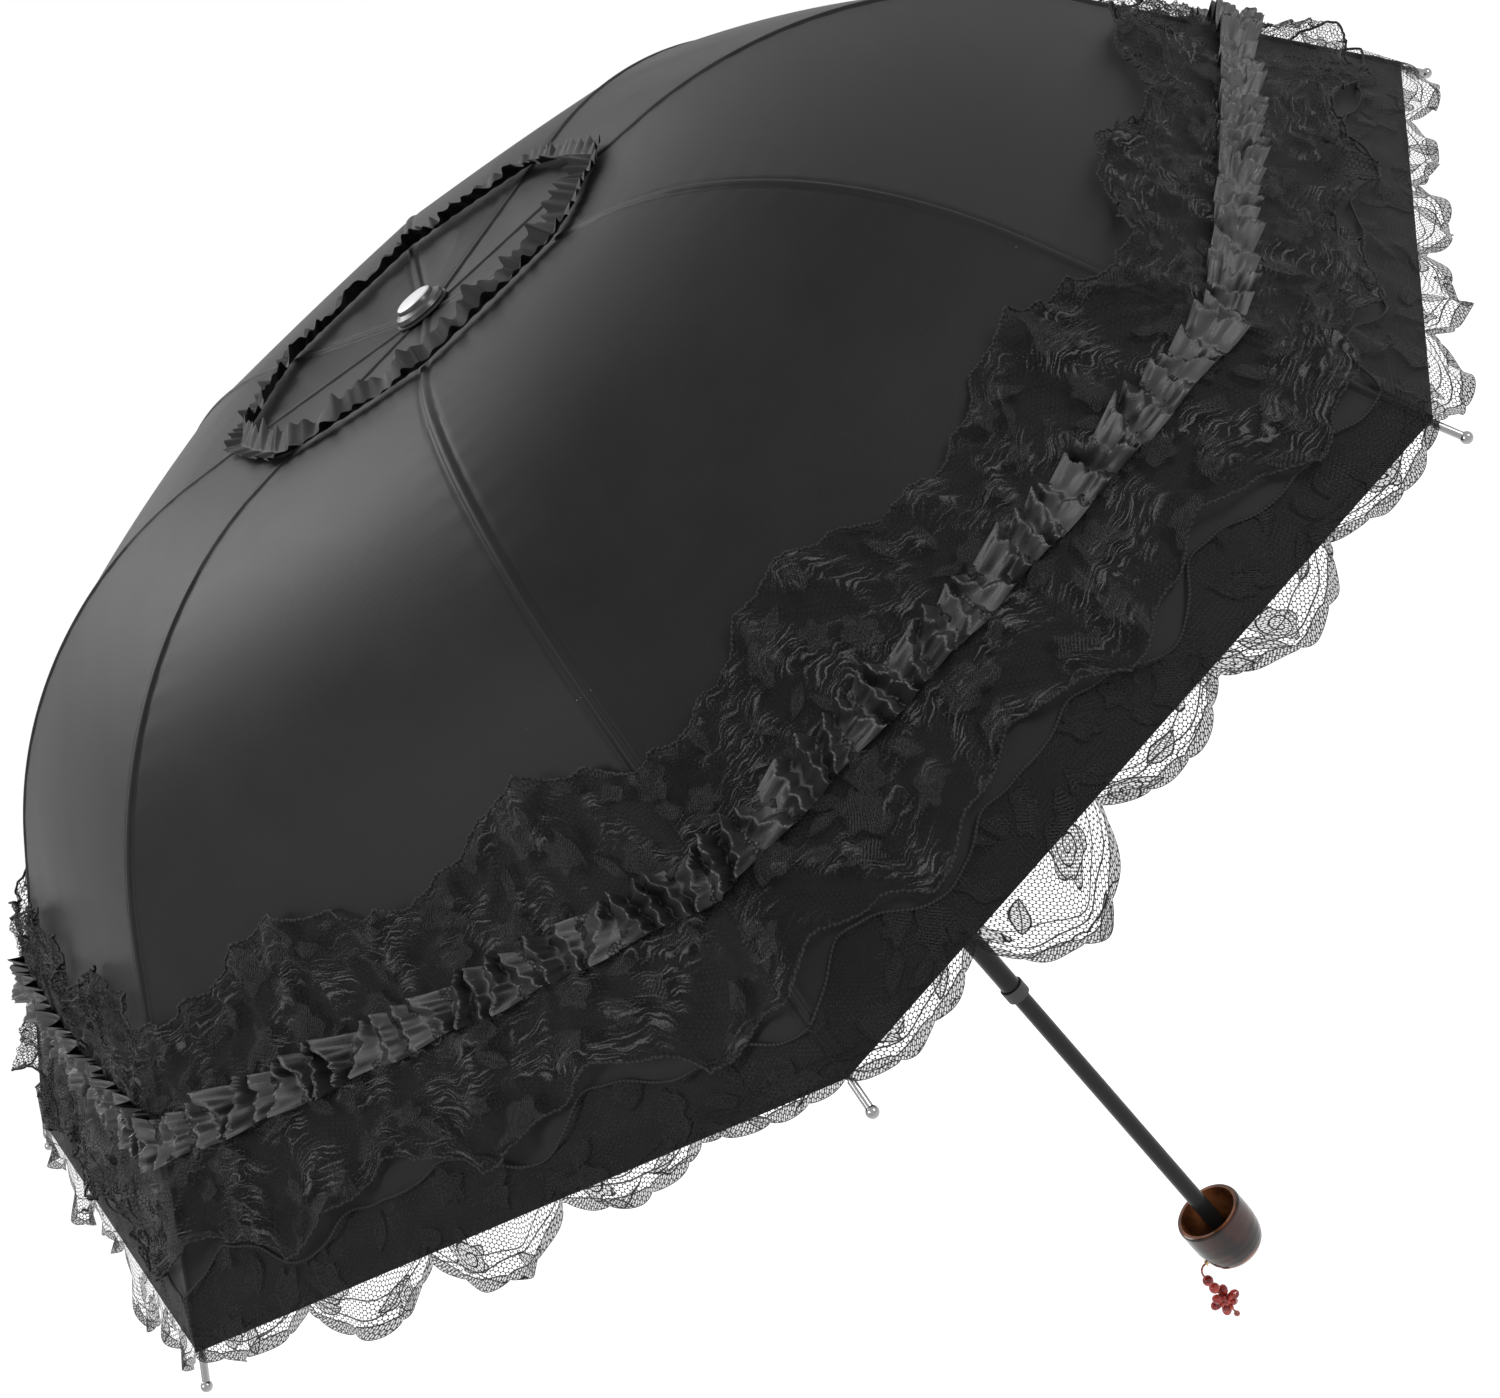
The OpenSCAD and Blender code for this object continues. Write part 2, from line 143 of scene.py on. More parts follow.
class Value:
    """One number that changes over a surface. Arithmetic on it adds Math nodes."""

    def __init__(self, finish, socket):
        self.finish, self.socket = finish, socket

    def maths(self, operation, *others):
        return self.finish.node("ShaderNodeMath", {"operation": operation}, self, *others)

    def __add__(self, other):
        return self.maths("ADD", other)

    def __radd__(self, other):
        return self.maths("ADD", other)

    def __sub__(self, other):
        return self.maths("SUBTRACT", other)

    def __rsub__(self, other):
        return self.finish.node("ShaderNodeMath", {"operation": "SUBTRACT"}, other, self)

    def __mul__(self, other):
        return self.maths("MULTIPLY", other)

    def __rmul__(self, other):
        return self.maths("MULTIPLY", other)

    def __truediv__(self, other):
        return self.maths("DIVIDE", other)

    def cos(self):
        return self.maths("COSINE")

    def sin(self):
        return self.maths("SINE")

    def root(self):
        return self.maths("SQRT")

    def abs(self):
        return self.maths("ABSOLUTE")

    def most(self, other):
        return self.maths("MAXIMUM", other)

    def least(self, other):
        return self.maths("MINIMUM", other)

    def above(self, edge, soft):
        """0 below the edge and 1 above it, with a soft step."""
        settings = {"interpolation_type": "SMOOTHSTEP"}
        return self.finish.node("ShaderNodeMapRange", settings, self, edge - soft, edge + soft)


class Finish:
    """A Principled material whose inputs are set by name."""

    def __init__(self, name, **inputs):
        self.material = bpy.data.materials.new(name)
        self.material.use_nodes = True
        self.tree = self.material.node_tree
        self.shader = self.tree.nodes["Principled BSDF"]
        self.set(**inputs)

    def join(self, socket, value):
        if isinstance(value, Value):
            self.tree.links.new(value.socket, socket)
        elif value is not None:
            socket.default_value = value

    def set(self, **inputs):
        for name, value in inputs.items():
            self.join(self.shader.inputs[name.replace("_", " ")], value)
        return self

    def node(self, kind, settings=None, *values, out=0, **named):
        """Makes a node, sets its settings, joins its inputs in order and by name, and gives one output."""
        made = self.tree.nodes.new(kind)
        for key, value in (settings or {}).items():
            setattr(made, key, value)
        for socket, value in zip(made.inputs, values):
            self.join(socket, value)
        for name, value in named.items():
            self.join(made.inputs[name.replace("_", " ")], value)
        return Value(self, made.outputs[out])

    def place(self, which="Object", scale=(1, 1, 1)):
        """Coordinates of the piece, in metres times scale: Object or UV."""
        coordinates = self.node("ShaderNodeTexCoord", out=which)
        return self.node("ShaderNodeMapping", None, coordinates, Scale=scale)

    def parts(self, vector):
        made = self.tree.nodes.new("ShaderNodeSeparateXYZ")
        self.tree.links.new(vector.socket, made.inputs[0])
        return [Value(self, output) for output in made.outputs]

    def noise(self, vector, scale, detail=3, roughness=0.5):
        return self.node(
            "ShaderNodeTexNoise", None, Vector=vector, Scale=scale, Detail=detail, Roughness=roughness
        )

    def blend(self, share, low, high):
        """A colour between two colours."""
        made = self.tree.nodes.new("ShaderNodeMix")
        made.data_type = "RGBA"
        self.join(made.inputs["Factor"], share)
        sockets = [s for s in made.inputs if s.type == "RGBA"]
        for socket, colour in zip(sockets, (low, high)):
            self.join(socket, colour)
        return Value(self, [s for s in made.outputs if s.type == "RGBA"][0])

    def bump(self, height, distance, strength=1.0):
        normal = self.node(
            "ShaderNodeBump", None, Strength=strength, Distance=distance, Height=height
        )
        return self.set(Normal=normal)


def grey(level):
    return (level, level, level, 1)


def linked(name, data):
    """A new object of the scene."""
    made = bpy.data.objects.new(name, data)
    bpy.context.scene.collection.objects.link(made)
    return made


# %% [markdown]
# ## The charm's cord
# A thin waxed cord leaves an eyelet in the cup, bends over and hangs straight. It is a curve with a
# round bevel, because a curve keeps its own length. It starts at the eyelet and ends at the knot.

# %% The cord
CORD_R = 0.6 * MM
CORD_X = -23.7
route = [
    (-18.8, 0, -9), (-19.9, 0, -9.05), (-21.1, 0, -9.4), (-22.2, 0, -10.2), (-23, 0, -11.3),
    (-23.5, 0, -12.7), (-23.7, 0, -14.5), (-23.7, 0, -17), (-23.7, 0, -20), (-23.7, 0, -23),
    (-23.7, 0, -26), (-23.7, 0, -29), (-23.7, 0, -32), (-23.7, 0, -35), (-23.7, 0, -38),
    (-23.7, 0, -41), (-23.7, 0, -44), (-23.7, 0, -46),
]
route = np.array(route) * MM
waxed = Finish("waxed_cord", Base_Color=(0.22, 0.05, 0.03, 1), Roughness=0.45)
twist_x, twist_y, twist_z = waxed.parts(waxed.place())
strands = (twist_z * 2600 + twist_x * 1800 + twist_y * 1800).cos()
waxed.set(Base_Color=waxed.blend(strands.above(0, 0.9), (0.11, 0.022, 0.014, 1), (0.3, 0.075, 0.045, 1)))
waxed.bump(strands, 0.1 * MM, 0.7)
curve = bpy.data.curves.new("wrist_cord", "CURVE")
curve.dimensions = "3D"
curve.bevel_depth = CORD_R
curve.bevel_resolution = 4
curve.use_fill_caps = True
spline = curve.splines.new("POLY")
spline.points.add(len(route) - 1)
spline.points.foreach_set("co", np.c_[route, np.ones(len(route))].astype(np.float32).ravel())
cord = linked("wrist_cord", curve)
curve.materials.append(waxed.material)
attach(cord, "charm")
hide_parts("charm_cord")

# %% [markdown]
# ## Surfaces from grids
# Every sheet here is a function of two parameters, evaluated for a whole array of points at once.
# The helper below turns such an array into a mesh. It also takes normals from the function itself,
# one step past each edge, so that two sheets that meet along a line shade as one cloth.

# %% Grid mesh helper
made_triangles = 0


def normals_of(points):
    """Unit normals of a grid: the cross product of its central differences. Drops the outer ring."""
    along = points[2:, 1:-1] - points[:-2, 1:-1]
    across = points[1:-1, 2:] - points[1:-1, :-2]
    normal = np.cross(along, across)
    return normal / np.maximum(np.linalg.norm(normal, axis=-1, keepdims=True), 1e-12)


def grid_piece(name, points, uv, material, normals=None, outward=None):
    """A mesh of quads over a grid of points (rows, columns, 3), with a UV map in metres."""
    global made_triangles
    rows, columns = points.shape[:2]
    index = np.arange(rows * columns).reshape(rows, columns)
    quads = np.stack([index[:-1, :-1], index[1:, :-1], index[1:, 1:], index[:-1, 1:]], -1).reshape(-1, 4)
    flat = points.reshape(-1, 3)
    if outward is not None:
        a, b, c = (flat[quads[:, n]] for n in (0, 1, 2))
        if (np.cross(b - a, c - a) * outward).sum() < 0:
            quads = quads[:, ::-1]
    mesh = bpy.data.meshes.new(name)
    mesh.from_pydata(flat.tolist(), [], quads.tolist())
    layer = mesh.uv_layers.new(name="UVMap")
    corners = np.empty(len(mesh.loops), np.int32)
    mesh.loops.foreach_get("vertex_index", corners)
    layer.data.foreach_set("uv", uv.reshape(-1, 2)[corners].astype(np.float32).ravel())
    mesh.polygons.foreach_set("use_smooth", np.ones(len(mesh.polygons), bool))
    mesh.materials.append(material)
    mesh.update()
    if normals is not None:
        mesh.normals_split_custom_set_from_vertices(normals.reshape(-1, 3).tolist())
    made_triangles += 2 * len(quads)
    return linked(name, mesh)


# %% [markdown]
# ## The shape of the cloth
# A rib's seam line is dished at the crown, round at the shoulder and straight to the corner. Between
# two seams a panel is a straight line across, which bulges a little towards the round dome. That
# makes one formula for the satin and for everything sewn on it.

# %% The cloth function


def seam_height(r):
    """Height of the seam at radius r: a shallow cone, an arc of radius BEND, then a straight run."""
    centre = CROWN_Z + DISH + SHELF - BEND
    low = CROWN_Z + DISH * r / R_RING
    shelf = CROWN_Z + DISH + SHELF * (r - R_RING) / (R_FLAT - R_RING)
    arc = centre + np.sqrt(np.maximum(BEND**2 - (r - R_FLAT) ** 2, 1e-9))
    end = centre + math.sqrt(BEND**2 - (R_BEND - R_FLAT) ** 2)
    slope = (R_BEND - R_FLAT) / (end - centre)
    run = end - (r - R_BEND) * slope
    return np.select([r <= R_RING, r <= R_FLAT, r <= R_BEND], [low, shelf, arc], run)


def seam_slope(r):
    step = 0.5 * MM
    return (seam_height(r + step) - seam_height(r - step)) / (2 * step)


def cloth(r, share, rib, side, lift=0.0, down=0.0):
    """A point of the cloth. r is the seam radius, share runs from 0 at the seam to 0.5 at mid panel,
    side is +1 or -1 from the rib, lift is the height off the cloth and down the way past the rim."""
    share = np.abs(share)
    x, y = 1 - share + share * math.cos(PITCH), share * math.sin(PITCH)
    chord = r * np.hypot(x, y)
    bow = BULGE * np.maximum(0, np.sin(math.pi * np.minimum(1, r / R_CORNER)))
    radius = chord + bow * (r - chord)
    slope = seam_slope(r)
    n = np.sqrt(1 + slope**2)
    out = radius - lift * slope / n + down / n
    angle = FIRST + PITCH * (rib - 1) + side * np.arctan2(y, x)
    height = seam_height(r) + lift / n + down * slope / n
    return np.stack([out * np.cos(angle), out * np.sin(angle), height], -1)


PANEL = 2 * R_RIBBON * math.sin(PITCH / 2)


def along_hem(share, rib, side):
    """Distance along the hem from the first rib, in metres at the ribbon's radius. It wraps behind."""
    turn = (rib - 1 + RIBS // 2) % RIBS - RIBS // 2
    return (turn + side * share) * PANEL


def squash_axis(rib, side, radius):
    """The way from a seam to the middle of its panel, without its part along the seam."""
    angle = FIRST + PITCH * (rib - 1)
    outwards = np.array([math.cos(angle), math.sin(angle), 0])
    sideways = side * np.array([-math.sin(angle), math.cos(angle), 0])
    slope = float(seam_slope(np.array(radius)))
    along = (outwards + np.array([0, 0, slope])) / math.sqrt(1 + slope**2)
    bow = BULGE * math.sin(math.pi * min(1, radius / R_CORNER))
    middle = math.cos(PITCH / 2)
    middle = middle + bow * (1 - middle)
    way = middle * math.sin(PITCH / 2) * sideways - (1 - middle * math.cos(PITCH / 2)) * outwards
    way = way - np.dot(way, along) * along
    anchor = radius * outwards + np.array([0, 0, float(seam_height(np.array(radius)))])
    return tuple(way / np.linalg.norm(way)), tuple(anchor)


def sheet_area(points):
    """Area of a grid of points, as the sum of its quads' cross products."""
    across = points[1:, 1:] - points[:-1, :-1]
    other = points[1:, :-1] - points[:-1, 1:]
    return float(np.linalg.norm(np.cross(across, other), axis=-1).sum() / 2)


def spread(low, high, count):
    """Evenly spaced parameters with one extra step past each end, for the normals."""
    step = (high - low) / (count - 1)
    return low + step * np.arange(-1, count + 1)


def sew(name, surface, rows, columns, body, rib, side, mid_radius, finish, node, gather=1.0):
    """Makes one sheet from surface(rows, columns), and lets it ride on a rib.
    gather is the flat cloth used over the area covered, and 0 marks a cord, which has its own outside."""
    points, uv = surface(rows[:, None], columns[None, :])
    inner = points[1:-1, 1:-1]
    angle = FIRST + PITCH * (rib - 1) + side * PITCH / 4
    fall = -float(seam_slope(np.array(mid_radius)))
    outward = np.array([fall * math.cos(angle), fall * math.sin(angle), 1.0])
    normals = normals_of(points)
    if gather and (normals * outward).sum() < 0:
        normals = -normals
    piece = grid_piece(name, inner, uv[1:-1, 1:-1], finish.material, normals, outward if gather else None)
    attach(piece, body)
    axis, anchor = squash_axis(rib, side, mid_radius)
    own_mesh(piece)
    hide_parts(node)
    if gather:
        area = sheet_area(inner) * gather
        held = "stretched" if node == "canopy" else "gathered"


# %% [markdown]
# ## Black satin
# Satin is a close weave with long floats, so it is smooth, soft-edged in its shine and barely
# textured. A fine weave goes into the bump and a slow noise into the roughness, which keeps the big
# panels from looking like plastic.

# %% The satin finish


def weave(finish, pitch, vector=None):
    """Threads crossing at right angles: the product of two cosines of the UV position."""
    u, v, _ = finish.parts(vector or finish.place("UV"))
    turn = 2 * math.pi / pitch
    return (u * turn).cos() * (v * turn).cos()


satin = Finish("black_satin", Specular_IOR_Level=0.07)
satin_uv = satin.place("UV")
cloudy = satin.noise(satin_uv, 14, 4, 0.6)
fine_grain = satin.noise(satin_uv, 900, 2, 0.6)
satin_shade = satin.blend(cloudy.above(0.5, 0.25), grey(0.009), (0.013, 0.013, 0.0135, 1))
satin.set(Base_Color=satin_shade, Roughness=0.34 + cloudy * 0.16)
satin.bump(weave(satin, 0.7 * MM) * 0.5 + fine_grain * 0.8, 0.06 * MM, 0.6)

# %% [markdown]
# ## Canopy
# The canopy folds with its ribs, so it is cut where the frame folds: at the ribs, down the middle of
# each panel and at the two knees of a rib. The cuts meet edge to edge. Each seam is a raised felled
# ridge, small puckers run beside it, and the hem is turned up at the rim.

# %% The canopy's sheets
HALF = 0.5
SEAM_RIDGE = 0.7 * MM
SEAM_GROOVE = 0.5 * MM
PUCKER = 0.16 * MM
HEM = 0.5 * MM
near_seam = np.array([0, 0.35, 0.7, 1.1, 1.6, 2.3, 3.2, 4.5, 6.5, 9, 13]) * MM


def canopy_surface(rib, side):
    """The cloth with a flat-topped ridge on the seam, a groove and fading waves beside it, and a hem."""

    def surface(r, share):
        from_seam = np.abs(share) * 2 * r * math.sin(PITCH / 2)
        ridge = SEAM_RIDGE * np.exp(-((from_seam / (1.7 * MM)) ** 4))
        ridge = ridge - SEAM_GROOVE * np.exp(-(((from_seam - 2.7 * MM) / (0.8 * MM)) ** 2))
        pucker = PUCKER * np.sin(2 * math.pi * r / (13 * MM) + rib) * np.exp(-from_seam / (10 * MM))
        pucker = pucker * (1 - np.exp(-((from_seam / (3 * MM)) ** 2)))
        hem = HEM * np.exp(-(((R_CORNER - r - 8 * MM) / (2 * MM)) ** 2))
        points = cloth(r, share, rib, side, ridge + pucker + hem)
        u = along_hem(np.abs(share), rib, side) * r / R_RIBBON + 0 * r
        v = r * 1.15 + 0 * share
        return points, np.stack([u, v], -1)

    return surface


def canopy_columns(radius):
    """Shares from the seam to mid panel, close together beside the seam, with one more on each side."""
    width = 2 * radius * math.sin(PITCH / 2)
    close = near_seam[near_seam < 0.3 * width] / width
    wide = np.linspace(close[-1], HALF, 16)[1:]
    shares = np.r_[close, wide]
    return np.r_[-shares[1], shares, 2 * shares[-1] - shares[-2]]


rings = [
    ("inner", "inner_rib", R_HOLE, R_KNEE_1, 40),
    ("shoulder", "middle_rib", R_KNEE_1, R_KNEE_2, 44),
    ("skirt", "outer_rib", R_KNEE_2, R_CORNER, 44),
]
for rib, side, hand in HALVES:
    for ring, body, low, high, count in rings:
        sew(
            f"canopy_{ring}_{rib}_{hand}", canopy_surface(rib, side), spread(low, high, count),
            canopy_columns(max(low, 60 * MM)), f"{body}_{rib}", rib, side, (low + high) / 2, satin,
            "canopy",
        )
print("canopy triangles", made_triangles)

# %% [markdown]
# ## Net lace
# Lace is a fine hexagonal net with worked motifs. Real thread would take millions of faces, so the
# sheet's alpha opens the holes. Three cosines at sixty degrees sum to a honeycomb, whose valleys are
# the net's threads. Around each Voronoi point a wavering outline makes a flower, and a spiral line
# inside it draws the folded petals. A second set of points carries leaves, each turned its own way.

# %% The lace finish


def net_threads(u, v, pitch=1.5 * MM):
    """Fine hexagonal net: 1 on the threads and 0 in the holes."""
    turn = 2 * math.pi / pitch
    lean = math.sqrt(3) / 2
    waves = (u * turn).cos() + ((u * 0.5 + v * lean) * turn).cos() + ((u * 0.5 - v * lean) * turn).cos()
    return 1 - waves.above(-0.86, 0.2)


def scattered(finish, u, v, per_metre, randomness):
    """Offsets from the nearest of many scattered points, and two random numbers that it carries."""
    cell = finish.tree.nodes.new("ShaderNodeTexVoronoi")
    cell.voronoi_dimensions = "2D"
    cell.inputs["Scale"].default_value = per_metre
    cell.inputs["Randomness"].default_value = randomness
    finish.join(cell.inputs["Vector"], finish.node("ShaderNodeCombineXYZ", None, u, v))
    at_x, at_y, _ = finish.parts(Value(finish, cell.outputs["Position"]))
    chance, luck, _ = finish.parts(Value(finish, cell.outputs["Color"]))
    return u - at_x, v - at_y, chance, luck


def line(distance, half_width, soft=0.25 * MM):
    """1 within half_width of a line, with soft sides."""
    return 1 - distance.abs().above(half_width, soft)


def lace_finish(name, dark, pale, sheen_stroke_weight=1.0, border=None):
    """Lace over a UV map in metres. The third argument weighs loose strokes of crinkled thread in painted
    sheen, and border(lace, u, v) may add an edge: its threads, and the part of the sheet that it leaves."""
    lace = Finish(name, Roughness=0.75, Specular_IOR_Level=0.16, Sheen_Weight=0.03, Sheen_Roughness=0.5)
    place = lace.place("UV")
    u, v, _ = lace.parts(place)
    wobble = lace.noise(place, 55, 2) - 0.5
    sway = lace.noise(place, 38, 2) - 0.5
    net = net_threads(u, v)

    x, y, chance, luck = scattered(lace, u + wobble * 9 * MM, v + sway * 9 * MM, 34, 0.8)
    around = y.maths("ARCTAN2", x)
    far = (x * x + y * y).root()
    petal = (4.6 * MM + luck * 3.4 * MM) + 1.2 * MM * (around * 5 + chance * 6 + wobble * 5).cos()
    flower = 1 - (far - petal).above(0, 0.35 * MM)
    outline = line(far - petal, 0.34 * MM)
    folds = (far * (2 * math.pi / (3.1 * MM)) + around + wobble * 16).cos().above(0.82, 0.12) * flower

    x, y, chance, luck = scattered(lace, u + sway * 8 * MM, v + wobble * 8 * MM, 47, 0.9)
    cos, sin = (chance * 6.3).cos(), (chance * 6.3).sin()
    long_way, cross_way = x * cos + y * sin, y * cos - x * sin
    shape = ((long_way / (6.6 * MM)) * (long_way / (6.6 * MM)) + (cross_way / (2.7 * MM)).abs()).root()
    leaf = (1 - (shape - 1).above(0, 0.06)) * (1 - flower)
    vein = line(cross_way, 0.28 * MM) * leaf
    rim = line(shape - 1, 0.07, 0.05) * (1 - flower)

    vine = line(v - (u * 74).cos() * 6 * MM - wobble * 20 * MM, 0.35 * MM) * (1 - flower)
    hatch = ((u + v * 0.6) * (2 * math.pi / (0.9 * MM)) + wobble * 20).cos()
    worked = flower.most(leaf) * (0.5 + 0.3 * hatch)
    cordage = outline.most(folds).most(vein).most(rim).most(vine)
    slide = lace.node("ShaderNodeCombineXYZ", None, u * 110 + sway * 3, v * 1100 + wobble * 22)
    # Loose strokes of crinkled thread: they add to the cover, and the pale colour they get below is a
    # painted sheen of light caught on the threads.
    sheen_strokes = lace.noise(slide, 1, 3).above(0.56, 0.08) * (sway + wobble).above(0.02, 0.12) * sheen_stroke_weight
    cover = net.most(worked).most(cordage).most(sheen_strokes * 0.8)
    height = net * 0.3 + worked * 0.5 + cordage
    if border:
        threads, stays = border(lace, u, v)
        cover = cover.most(threads) * stays
        height = height.most(threads)
        cordage = cordage.most(threads)
    # The pale grey is a painted sheen of threads that catch the light: the strokes take it fully, the
    # worked motifs a little.
    motif_tone_and_sheen = lace.blend((flower.most(leaf) * (0.2 + 0.25 * hatch)).most(sheen_strokes), dark, pale)
    lace.set(Base_Color=lace.blend(cordage * 0.5, motif_tone_and_sheen, dark), Alpha=cover)
    lace.bump(height, 0.35 * MM, 0.8)
    return lace


def lens_border(lace, u, v):
    """A row of hatched lens shapes along v = 0, with two wandering threads above it."""
    centre = 2.4 * MM
    lens = (u * (math.pi / (17 * MM))).sin().abs().root()
    half = 0.5 * MM + lens * 1.8 * MM
    off = (v - centre).abs()
    hatch = ((u - v) * (2 * math.pi / (1.1 * MM))).cos()
    filled = (1 - (off - half).above(0, 0.2 * MM)) * (0.62 + 0.3 * hatch)
    drift = (u * 130).cos() * 1.3 * MM
    threads = filled.most(line(off - half, 0.3 * MM)).most(line(v - 8 * MM - drift, 0.32 * MM))
    threads = threads.most(line(v - 12.5 * MM + drift, 0.28 * MM))
    return threads, (v - centre + half).above(-0.1 * MM, 0.15 * MM)


# The second grey of each lace is its painted sheen.
band_lace = lace_finish("band_lace", grey(0.002), grey(0.06))
edging_lace = lace_finish("edging_lace", grey(0.003), grey(0.03), 0.3, lens_border)
thread = Finish("edge_cord", Specular_IOR_Level=0.2)
ply_u, ply_v, _ = thread.parts(thread.place("UV"))
ply_turn = (ply_u * (2 * math.pi / (1.4 * MM)) + ply_v * 1000).cos()
thread.set(Base_Color=thread.blend(ply_turn.above(0, 0.8), grey(0.004), grey(0.02)))
thread.set(Roughness=0.7 + ply_turn * 0.1)
thread.bump(ply_turn, 0.15 * MM, 0.7)

# %% [markdown]
# ## Flounce, ribbon and edging
# The flounce is a wide lace band caught along its middle, so it lies flat at the stitching and waves
# more and more towards both edges. The ribbon on it is ruched satin: sharp pleats that lean, puffed
# on both sides of a stitch line. The edging lies on the rim and hangs past it in deep scallops.

# %% Waves, chance and edge cords


def wave(u, period, shift=0.0):
    return np.sin(2 * math.pi * (u / period + shift))


def chance_of(number, seed):
    """A repeatable random number from 0 to 1 for each whole number."""
    return np.modf(np.abs(np.sin(number * 12.9898 + seed * 78.233) * 43758.5453))[0]


def swept_cord(surface, v_edge, radius=0.55 * MM):
    """A thin round cord along one edge of a sheet: a circle in the plane of the sheet's two cross ways."""

    def cord_surface(turn, share):
        spot, uv = surface(v_edge + 0 * share, share)
        step = 0.002
        inner = 0.05 if v_edge <= HALF else -0.05
        before, _ = surface(v_edge + 0 * share, share - step)
        after, _ = surface(v_edge + 0 * share, share + step)
        inwards, _ = surface(v_edge + inner + 0 * share, share)
        way = after - before
        way = way / np.linalg.norm(way, axis=-1, keepdims=True)
        flat = inwards - spot
        flat = flat - (flat * way).sum(-1, keepdims=True) * way
        flat = flat / np.linalg.norm(flat, axis=-1, keepdims=True)
        rise = np.cross(way, flat)
        angle = (2 * math.pi * turn)[..., None]
        points = spot + radius * (np.cos(angle) * flat + np.sin(angle) * rise)
        along = uv[..., 0] + 0 * turn
        return points, np.stack([along, 2 * math.pi * radius * turn + 0 * along], -1)

    return cord_surface


# %% [markdown]
# ### The flounce
# Lace with no body of its own shows each slack spot. The band's edges wander by several centimetres,
# and its surface is a sum of slow swells and of sharp creases, which grow from the stitching outwards.

# %% The flounce
SLANT = math.sqrt(1 + float(seam_slope(np.array(R_RIBBON))) ** 2)
FLOUNCE_TOP = R_RIBBON - 33 * MM
FLOUNCE_LOW = R_RIBBON + 38 * MM
FLOUNCE_HALF = 48 * MM


def hem_place(rib, side, share, v):
    return along_hem(0, rib, side) + side * share * PANEL + 0 * v


def flounce_surface(rib, side):
    """v runs from -1 at the upper edge over the stitching to 1 at the lower one. Both edges wander by
    sums of waves, and the lift adds slow swells, sharp creases in two slanting directions and tucks."""

    def surface(v, share):
        u = hem_place(rib, side, share, v)
        edge = np.abs(v)
        top = FLOUNCE_TOP + 6 * MM * wave(u, PANEL / 2, 0.1) + 2.5 * MM * np.abs(wave(u, PANEL / 5, 0.3))
        low = FLOUNCE_LOW - 9 * MM * np.abs(wave(u, PANEL / 1.5, 0.2)) ** 0.7
        low = low + 3 * MM * wave(u, PANEL / 3, 0.45) + 1.2 * MM * wave(u, PANEL / 9, 0.2)
        r = np.where(v < 0, R_RIBBON + (top - R_RIBBON) * edge, R_RIBBON + (low - R_RIBBON) * edge)
        r = r + 0.45 * MM * np.abs(wave(u, PANEL / 40)) * edge**8 * np.sign(v)
        swell = 2.8 + 2.8 * wave(u, PANEL / 4, 0.05 + 0.1 * v) + 1.9 * wave(u, PANEL / 7, 0.3 - 0.2 * v)
        y = v * FLOUNCE_HALF
        creases = 1 - np.abs(wave(u + 0.5 * y, 38 * MM, 0.2 * wave(y - 0.3 * u, 47 * MM))) ** 0.7
        counter = 1 - np.abs(wave(u - 0.7 * y, 25 * MM, 0.3 * wave(y, 60 * MM))) ** 0.7
        ripple = wave(u + 1.4 * y, 9 * MM) * wave(y - 0.4 * u, 21 * MM)
        crumple = 3.6 * creases + 2.1 * counter + 0.5 * ripple
        tucks = 0.5 * wave(u, PANEL / 34, 0.25 * v) * np.maximum(0, 1 - 2 * edge)
        lift = MM * (2.0 + edge * swell.clip(0) + np.minimum(1, 1.4 * edge) * crumple.clip(0) + tucks)
        points = cloth(r, share, rib, side, lift)
        return points, np.stack([u, v * FLOUNCE_HALF + 0 * u], -1)

    return surface


# %% [markdown]
# ### The ribbon
# A gathered ribbon breaks into small flat facets with sharp crests and deep valleys. Each pleat takes
# its own numbers from its place in the row, so no two are alike and the row is the same each time.

# %% The ribbon
PLEAT = PANEL / 25


def ribbon_surface(rib, side):
    """v runs from -1 to 1 over the stitching. Each pleat is a tent with its own crest, slant and size,
    drawn in along the stitching, and its crest leans along the hem."""

    def surface(v, share):
        u = hem_place(rib, side, share, v)
        drift = 0.2 * wave(u, PANEL / 3, 0.1) + 0.12 * wave(u, PANEL / 7, 0.7)
        phase = u / PLEAT + drift + 0.35 * v * wave(u, PANEL / 5, 0.2) + 0.08 * wave(v, 0.7, 0.1)
        number = np.floor(phase)
        saw = phase - number
        slant = np.where(np.mod(number, 2) == 0, 0.38, -0.38) * (0.4 + 0.6 * chance_of(number, 3))
        crest = np.clip(0.38 + 0.24 * chance_of(number, 1) + slant * v, 0.12, 0.88)
        fold = np.minimum(saw / crest, (1 - saw) / (1 - crest))
        size = 0.45 + 0.75 * chance_of(number, 2)
        stitch = np.exp(-((v / 0.12) ** 2))
        crease = 1 - 0.4 * np.exp(-(((v - 0.45 + 0.9 * chance_of(number, 8)) / 0.1) ** 2))
        height = fold**1.5 * size * (9.2 + 1.4 * np.abs(v)) * (1 - 0.3 * stitch) * crease
        lift = MM * (2.0 + height)
        width = 5.7 + 1.6 * (fold * size - 0.4) + 0.5 * wave(u, PANEL / 6, 0.4)
        lean = 0.011 * fold * size * (0.4 + 0.6 * chance_of(number, 4))
        lean = lean * np.clip(30 * share * (HALF - share), 0, 1)
        points = cloth(R_RIBBON + v * width * MM, share + side * lean, rib, side, lift)
        return points, np.stack([u * 1.6, v * 14 * MM + 0 * u], -1)

    return surface


# %% [markdown]
# ### The edging
# Five lobes hang from each panel's rim, some drawn up and some let down. Their upper part lies on the
# cloth, and the hanging part sways in and out.

